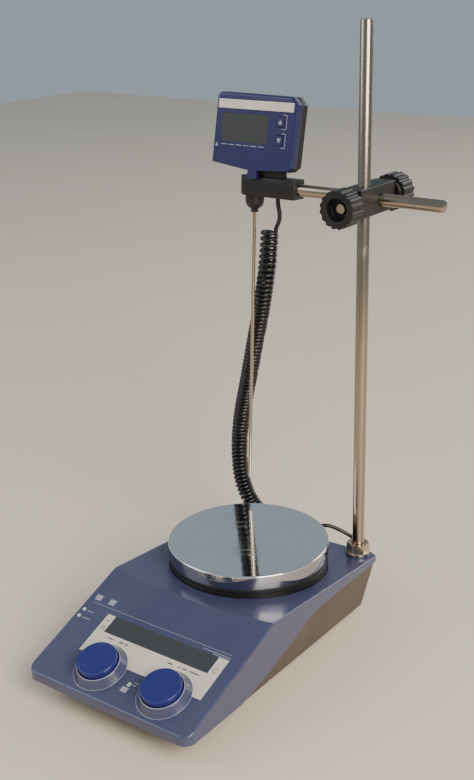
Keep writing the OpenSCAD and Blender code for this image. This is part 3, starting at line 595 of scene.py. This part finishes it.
def makeCollar():
    low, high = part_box("insulating_collar")
    floorLine, top = low.z / mm, high.z / mm
    inner, outer, flange, bead, turn = (collar[key] for key in ("inner", "outer", "flange", "bead", "topRound"))
    outline = [(inner, floorLine), (flange, floorLine), *arc((flange, floorLine + 1.6), bead, -90, 90, 4),
               (outer, floorLine + 2.2), (outer, top - 4), (outer - 0.6, top - 3.6), (outer - 0.6, top - 3),
               (outer, top - 2.6), *arc((outer - turn, top - turn), turn, 0, 90, 3), (inner, top),
               (inner, floorLine)]
    settle(turned("collarRing", scaled(outline), Matrix.Identity(4), 160, 40), "insulating_collar")


makePlate()
makeCollar()

# ---- Knobs, label and marks of the control panel
print("stage: controls")
knobShape = {"radius": 16, "top": 11, "low": 2.2, "edge": 1.1, "dish": 0.3}


# Where a knob stands, by its distance from the panel's middle
def knobPlace(across):
    return panelPlace @ Matrix.Translation((across, coverShape["knobUp"], 0))


def makeKnob(node, across):
    r, top, low, edge = (knobShape[key] for key in ("radius", "top", "low", "edge"))
    outline = [(0, low + 2), (r - 3, low + 2), (r - 2, low), (r - 0.5, low), (r - 0.2, low + 0.3),
               (r, low + 1.2), (r, top - edge), *arc((r - edge, top - edge), edge, 8, 84, 7),
               (r - edge - 1, top - 0.02), (r - edge - 4, top - 0.2), (0, top - knobShape["dish"])]
    settle(turned(node + "Cap", scaled(outline), knobPlace(across), 96, 50), node)


for node, across in zip(("heat_knob", "speed_knob"), coverShape["knobs"]):
    makeKnob(node, across)


# A flat shape pushed up from one height to another, with its edges softened
def prism(points, low, high, place, soft=0.06):
    mesh = bpy.data.meshes.new("shape")
    mesh.from_pydata([(a * mm, b * mm, low * mm) for a, b in points], [], [tuple(range(len(points)))])
    piece = bpy.data.objects.new("shape", mesh)
    bpy.context.scene.collection.objects.link(piece)
    applyModifier(piece, "SOLIDIFY", thickness=(high - low) * mm, offset=1)
    applyModifier(piece, "BEVEL", width=soft * mm, segments=2, limit_method="ANGLE")
    piece.data.transform(place)
    return piece


def oblong(left, right, low, high):
    return [(left, low), (right, low), (right, high), (left, high)]


# The outline of a narrow ring with a gap in it
def openRing(centre, radius, width, start, end, count=14):
    outer = arc(centre, radius + width / 2, start, end, count)
    inner = arc(centre, radius - width / 2, end, start, count)
    return outer + inner


# Dashes in place of the words, as left end, right end and height on the panel, an open ring and a small bolt
labelMarks = {"thick": 0.3, "sunk": 0.02, "proud": 0.06,
              "words": [(-45, -39, 51), (-32.5, -28.5, 51), (-27, -24, 51), (16, 21, 50.4), (26, 28, 50.4),
                        (30, 35, 50.4), (37, 46, 50.4)],
              "scale": (57, 59, 65), "ring": (55.6, 59.4),
              "bolt": [(-57.6, 67), (-56, 69.4), (-55.2, 68), (-53.4, 70), (-54.8, 67.2), (-55.8, 68.2)]}


def makePanelPrint():
    outlines = [oblong(a, b, v, v + 1.1) for a, b, v in labelMarks["words"]]
    outlines += [oblong(-57.6, -53.6, v, v + 0.8) for v in labelMarks["scale"]]
    outlines += [openRing(labelMarks["ring"], 2.1, 0.6, 40, 330), labelMarks["bolt"]]
    low, high = labelMarks["thick"] - labelMarks["sunk"], labelMarks["thick"] + labelMarks["proud"]
    pieces = [prism(outline, low, high, panelPlace) for outline in outlines]
    settle(joined("labelPrint", pieces), "panel_label", printDark, False)


# The long rule, squares and dashes in place of signs and words, the thin rings round the knobs, and a pale ring
# at the top of each knob's rim that is a painted highlight
coverMarks = {"low": -0.02, "high": 0.07, "rule": (-80, 60, 76.3, 76.6), "lockSign": (-3.4, 2.4, 14.6, 19.2),
              "dashes": ((3.6, 8, 24.8), (3.6, 6.5, 22.6), (-79, -71, 59.8), (-79, -73, 66.8)),
              "squares": (-78.8, -64.4), "stripes": ((34, 60, 73.6), (44, 60, 71.9)),
              # The last entry outlines the pale ring at the top of each knob's rim: a painted highlight, not
              # print
              "paintedRimHighlight": [(16.7, 5), (17.5, 5), (17.6, 6.05), (17.1, 6.3), (16.7, 6.0), (16.7, 5)]}


def makeCoverPrintAndHighlight():
    low, high = coverMarks["low"], coverMarks["high"]
    pieces = [prism(oblong(*coverMarks["rule"]), low, high, panelPlace),
              prism(oblong(*coverMarks["lockSign"]), low, high, panelPlace, 0.3)]
    pieces += [prism(oblong(a, b, v, v + 0.7), low, high, panelPlace) for a, b, v in coverMarks["dashes"]]
    pieces += [prism(oblong(u - 3, u + 3, 79.4, 84.8), low, high, panelPlace, 0.5)
               for u in coverMarks["squares"]]
    pieces += [prism(oblong(a, b, v, v + 0.5), low, high, panelPlace) for a, b, v in coverMarks["stripes"]]
    rimLine = [(21.7, low), (22.1, low), (22.1, high), (21.7, high), (21.7, low)]
    for across in coverShape["knobs"]:
        pieces.append(turned("rimLine", scaled(rimLine), knobPlace(across), 96))
        # The pale ring on the rim's top is a painted highlight where the rim's edge catches the light
        pieces.append(turned("paintedRimHighlight", scaled(coverMarks["paintedRimHighlight"]), knobPlace(across), 96))
    # One pale finish serves the print and the painted highlight rings alike
    settle(joined("coverPrintAndHighlight", pieces), "top_cover", paleInkAndHighlight, False)


makePanelPrint()
makeCoverPrintAndHighlight()

# ---- Stand rod, its nut and the boss head
print("stage: stand")
rodShape = {"radius": 5, "chamfer": 0.9, "armChamfer": 1.8}


# A bar from one end to the other, with a worn edge below and a turned chamfer at the top
def barOutline(radius, length, chamfer):
    return scaled([(0, 0), (radius - 0.3, 0), (radius, 0.3), (radius, length - chamfer),
                   (radius - chamfer * 0.3, length - chamfer * 0.35), (radius - chamfer, length), (0, length)])


def makeRods():
    low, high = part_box("stand_rod")
    place = Matrix.Translation(((low.x + high.x) / 2, (low.y + high.y) / 2, low.z))
    outline = barOutline(rodShape["radius"], (high.z - low.z) / mm, rodShape["chamfer"])
    settle(turned("standBar", outline, place, 64, 30), "stand_rod")
    place = Matrix.Translation((armLow.x, armAxis.y, armAxis.z)) @ Matrix.Rotation(math.radians(90), 4, "Y")
    outline = barOutline(rodShape["radius"], (armHigh.x - armLow.x) / mm, rodShape["armChamfer"])
    settle(turned("levelBar", outline, place, 64, 30), "holding_rod", levelSteel)


def everyEdge(spot, angle):
    return 1.0


makeRods()
softened = {"boss_head": 0.9, "rod_screw_knob": 0.5, "arm_screw_knob": 0.5, "rod_screw": 0.6, "arm_screw": 0.6,
            "mains_inlet": 0.4, "switch_frame": 0.4, "switch_rocker": 0.5, "probe_socket": 0.4,
            "gauge_rear": 1.3, "up_key": 0.35, "down_key": 0.35, "bottom_plate": 0.25, "power_transformer": 0.8,
            "drive_magnets": 0.5, "rubber_feet": 0.5}
for node, width in softened.items():
    rounded(node, node + "Soft", width * mm, everyEdge)


# A flat washer and a hexagonal nut with its corners turned off
def makeNut():
    low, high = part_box("rod_fasteners")
    shape = {"washer": 10, "thick": 2, "flats": 17, "hole": 5.1, "top": (high.z - low.z) / mm}
    wide, hole = shape["washer"], shape["hole"]
    place = Matrix.Translation(((low.x + high.x) / 2, (low.y + high.y) / 2, low.z))
    outline = [(5.3, 0), (wide - 0.3, 0), (wide, 0.3), (wide, 1.7), (wide - 0.3, 2), (5.3, 2), (5.3, 0)]
    washer = turned("washer", scaled(outline), place, 72)
    deselect()
    bpy.ops.mesh.primitive_cylinder_add(vertices=6, radius=shape["flats"] / math.sqrt(3) * mm,
                                        depth=(shape["top"] - shape["thick"]) * mm)
    nut = bpy.context.object
    nut.data.transform(place @ Matrix.Translation((0, 0, (shape["top"] + shape["thick"]) / 2 * mm)))
    low, high = shape["thick"], shape["top"]
    outline = [(0, low), (9.4, low), (9.9, low + 0.3), (9.9, high - 0.6), (9.0, high), (0, high)]
    cone = turned("cone", scaled(outline), place, 96)
    outline = [(0, low - 1), (hole, low - 1), (hole, high - 0.6), (hole + 0.8, high + 0.2), (0, high + 0.2)]
    bore = turned("hole", scaled(outline), place, 72)
    applyModifier(nut, "BOOLEAN", operation="INTERSECT", object=cone, solver="EXACT")
    applyModifier(nut, "BOOLEAN", operation="DIFFERENCE", object=bore, solver="EXACT")
    bpy.data.objects.remove(cone)
    bpy.data.objects.remove(bore)
    applyModifier(nut, "BEVEL", width=0.2 * mm, segments=2, limit_method="ANGLE")
    smooth(nut)
    settle(joined("nutAndWasher", [nut, washer]), "rod_fasteners", warmSteel)


makeNut()

# ---- Thermometer
print("stage: thermometer")
face = {"edge": 2.2 * mm, "glass": (8, 54.5, 26, 49), "keys": (62, 71, 25, 49), "nub": (36.6, 48.5, -4, 7.5),
        "strip": (3.4, 78.3, 52.8, 60.1), "margin": 0.6, "low": -0.02, "high": 0.06}


def within(spot, area):
    left, right, low, high = area
    margin = face["margin"]
    return left - margin < spot.x / mm < right + margin and low - margin < spot.z / mm < high + margin


# Full rounding on the front of the case, hardly any round its windows, none behind and on the joint below
def shellWeight(spot, angle):
    local = gaugePlace.inverted() @ spot
    if local.y > 0.3 * mm or within(local, face["nub"]):
        return 0.0
    return 0.1 if within(local, face["glass"]) or within(local, face["keys"]) else 1.0


def makeGaugeMarks():
    strip = prism(oblong(*face["strip"]), -0.05, 0.25, gaugeFace, 0.12)
    settle(strip, "gauge_front", finishes["label_film"], False)
    strip.name = "gaugeStrip"
    low, high = face["low"], face["high"]
    pieces = []
    for z, way in ((44.5, 1), (29.8, -1)):
        pieces.append(prism([(64.6, z - 1.7 * way), (68.6, z - 1.7 * way), (66.6, z + 2.1 * way)][::way],
                            0.58, 0.68, gaugeFace))
        bars = [(68.2, 72.6, z + 5.4, z + 5.9), (68.2, 72.6, z - 5.9, z - 5.4), (72.1, 72.6, z - 5.9, z + 5.9)]
        pieces += [prism(oblong(*bar), low, high, gaugeFace) for bar in bars]
    pieces.append(prism([(2.6, 21.4), (6, 21.4), (4.3, 24.6)], low, high, gaugeFace))
    pieces += [prism(oblong(9 + 7.5 * i, 14.6 + 7.5 * i, 23.2, 23.8), low, high, gaugeFace) for i in range(6)]
    settle(joined("gaugePrint", pieces), "gauge_front", paleInkAndHighlight, False)


rounded("gauge_front", "gaugeShell", face["edge"], shellWeight, 4)
makeGaugeMarks()
probe = {"at": -48, "radius": 1.5, "length": 243, "hidden": 8, "dome": 8 + 4.3 + 8}


# Block with chamfered ends, the bracket up to the head, and the dome with its cuff under it
def makeHolder():
    block = {"left": -60.5, "right": -3.5, "half": 8, "nose": 5, "bracket": (-43, -16, -6, 0), "up": 15.5}
    left, right, half, nose = block["left"], block["right"], block["half"], block["nose"]
    outline = [(left, nose - half), (left + nose, -half), (right - 1, -half), (right, 1 - half),
               (right, half - 1), (right - 1, half), (left + nose, half), (left, half - nose)]
    pieces = [prism(outline, -half, half, holderPlace, 0.8),
              prism(oblong(*block["bracket"]), half - 1, block["up"], holderPlace, 0.5)]
    dome = [(0, -20.4), (2.2, -20.4), (2.2, -22.4), (3.0, -22.4), (3.2, -22.2), (3.2, -19.7),
            *arc((0, -12.3), 8, -66, 0, 10), (8, -8.4), (8.6, -8.2), (8.6, -7.5), (0, -7.5)]
    place = holderPlace @ Matrix.Translation((probe["at"] * mm, 0, 0))
    pieces.append(turned("dome", scaled(dome), place, 64, 40))
    whole = joined("holderBlock", pieces)
    smooth(whole, 35)
    settle(whole, "holder_block")


def makeProbe():
    r, top = probe["radius"], probe["length"] + probe["hidden"]
    place = holderPlace @ Matrix.Translation((probe["at"] * mm, 0, -(probe["dome"] + probe["length"]) * mm))
    outline = [(0, 0), *arc((0, r), r, -75, 0, 6), (r, top), (0, top)]
    settle(turned("probeTube", scaled(outline), place, 32, 40), "probe_rod")


makeHolder()
makeProbe()

# ---- Cord
print("stage: cord")
# The wire and its coil in mm: the turns start loose, close up after a while, and open where the coil ends
cord = {"thick": 3.8, "coil": 6.1, "pitch": 3.85, "loose": 5.4, "looseRun": 25, "closeRun": 55, "steps": 14,
        "unwind": 0.75, "openPitch": 14, "step": 0.25, "plainStep": 1.6}
leadWay = [(-25, 84.5, 356.4), (-24.8, 84.5, 350), (-23.6, 84.6, 343.5), (-23.8, 84.9, 338.5),
           (-25.6, 85.3, 333.9), (-27.8, 85.8, 330.4), (-28.4, 86, 326.6)]
coilWay = [(-34.5, 86, 327), (-38.5, 87.5, 297), (-43.5, 90, 276), (-50.5, 94, 252), (-58.5, 98, 228),
           (-66.5, 102, 203), (-76.5, 107, 172), (-85, 111, 146), (-90, 113, 121), (-91, 113, 98),
           (-88, 112, 76), (-80, 112, 57.5), (-68, 112.5, 46), (-51, 114, 39.5), (-32, 115.5, 39),
           (-15, 116.5, 43)]
tailWay = [(-15, 116.5, 43), (-9.2, 116.8, 44.4), (-1, 120, 46), (4.5, 124, 45), (12.5, 130, 40),
           (21.5, 133.5, 35), (28.5, 133.5, 32), (33.5, 130.5, 30.6), (35.8, 125, 30), (36, 118.2, 30)]


# A smooth line through the points, with its points spread evenly along it
def evenly(points, spacing):
    spots = [Vector(p) for p in points]
    spots = [2 * spots[0] - spots[1]] + spots + [2 * spots[-1] - spots[-2]]
    fine = []
    for a, b, c, d in zip(spots, spots[1:], spots[2:], spots[3:]):
        for i in range(40):
            t = i / 40
            fine.append(((2 * b) + (c - a) * t + (2 * a - 5 * b + 4 * c - d) * t * t
                         + (3 * b - a - 3 * c + d) * t * t * t) / 2)
    fine.append(spots[-2])
    reach = [0]
    for a, b in zip(fine, fine[1:]):
        reach.append(reach[-1] + (b - a).length)
    count = max(2, round(reach[-1] / spacing))
    even, at = [], 0
    for i in range(count + 1):
        want = reach[-1] * i / count
        while at < len(reach) - 2 and reach[at + 1] < want:
            at += 1
        even.append(fine[at].lerp(fine[at + 1], (want - reach[at]) / max(reach[at + 1] - reach[at], 1e-9)))
    return even


def coilPoints():
    step = cord["step"]
    way = evenly(coilWay, step)
    side = Vector((1, 0, 0))
    turnSoFar, points = 0.0, []
    whole = len(way) * step
    for i in range(len(way) - 1):
        along = (way[i + 1] - way[i]).normalized()
        side = (side - side.dot(along) * along).normalized()
        other = along.cross(side)
        run = i * step
        fading = min(1, (whole - run) / (cord["unwind"] * cord["openPitch"]))
        closed = min(1, max(0, run - cord["looseRun"]) / cord["closeRun"])
        pitch = cord["loose"] + (cord["pitch"] - cord["loose"]) * closed
        pitch = cord["openPitch"] if fading < 1 else pitch
        turnSoFar += step / pitch
        if int(turnSoFar * cord["steps"]) > len(points):
            angle = math.tau * turnSoFar
            points.append(way[i] + cord["coil"] * fading * (math.cos(angle) * side + math.sin(angle) * other))
    return points


def tube(name, centres):
    line = bpy.data.curves.new(name, "CURVE")
    line.dimensions = "3D"
    line.bevel_depth = cord["thick"] / 2 * mm
    line.bevel_resolution = 2
    line.use_fill_caps = True
    run = line.splines.new("POLY")
    run.points.add(len(centres) - 1)
    for entry, spot in zip(run.points, centres):
        entry.co = (*spot, 1)
    piece = bpy.data.objects.new(name, line)
    bpy.context.scene.collection.objects.link(piece)
    pick(piece)
    bpy.ops.object.convert(target="MESH")
    piece = bpy.context.object
    smooth(piece, 60)
    wear(piece, finishes["cord_jacket"])
    return piece


def makePlug():
    low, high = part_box("cord_plug")
    x, z = (low.x + high.x) / 2, (low.z + high.z) / 2
    start = low.y / mm
    ridges = [(r, up + 2 * i) for i in range(6) for r, up in ((8.5, 13), (8.5, 14), (7.9, 14.3), (7.9, 14.8))]
    sleeve = [(r - i, up + 2.6 * i) for i in range(5)
              for r, up in ((6.8, 31.2), (6.4, 32.6), (5.7, 32.8), (5.7, 33.6))]
    outline = [(0, 0), (6, 0), (6.3, 0.3), (6.3, 9), (8.1, 9.1), (8.5, 9.5), *ridges, (8.2, 30.4), *sleeve,
               (1.75, (high.y - low.y) / mm), (0, (high.y - low.y) / mm)]
    place = Matrix.Translation((x, start * mm, z)) @ Matrix.Rotation(math.radians(-90), 4, "X")
    return settle(turned("probePlug", scaled(outline), place, 64, 35), "cord_plug")


# The cord is cut by height into stretches, each named after the body at its upper end; only the last stretch
# goes with the housing
def makeCord():
    plug = makePlug()
    down = bench / mm
    plainStep = cord["plainStep"]
    way = evenly(leadWay, plainStep) + coilPoints() + evenly(tailWay, plainStep)[1:]
    spots = [Vector((p.x * mm, p.y * mm, (p.z + down) * mm)) for p in way]
    cuts = [(300, "arm", "gauge", ("cord_lead",)), (215, "clamp_head", "arm", ()),
            (120, "post", "clamp_head", ()), (62, "housing", "post", ("cord_curl",))]
    before = 0
    for height, lowBody, highBody, nodes in cuts:
        at = next(i for i, p in enumerate(spots) if p.z < (height + down) * mm)
        centres = spots[before:at + 1]
        piece = tube("cordPart" + highBody.title().replace("_", ""), centres)
        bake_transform(piece)
        if nodes:
            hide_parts(*nodes)
        before = at
    piece = tube("cordPartTail", spots[before:])
    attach(piece, "housing")
    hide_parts("cord_tail")


makeCord()
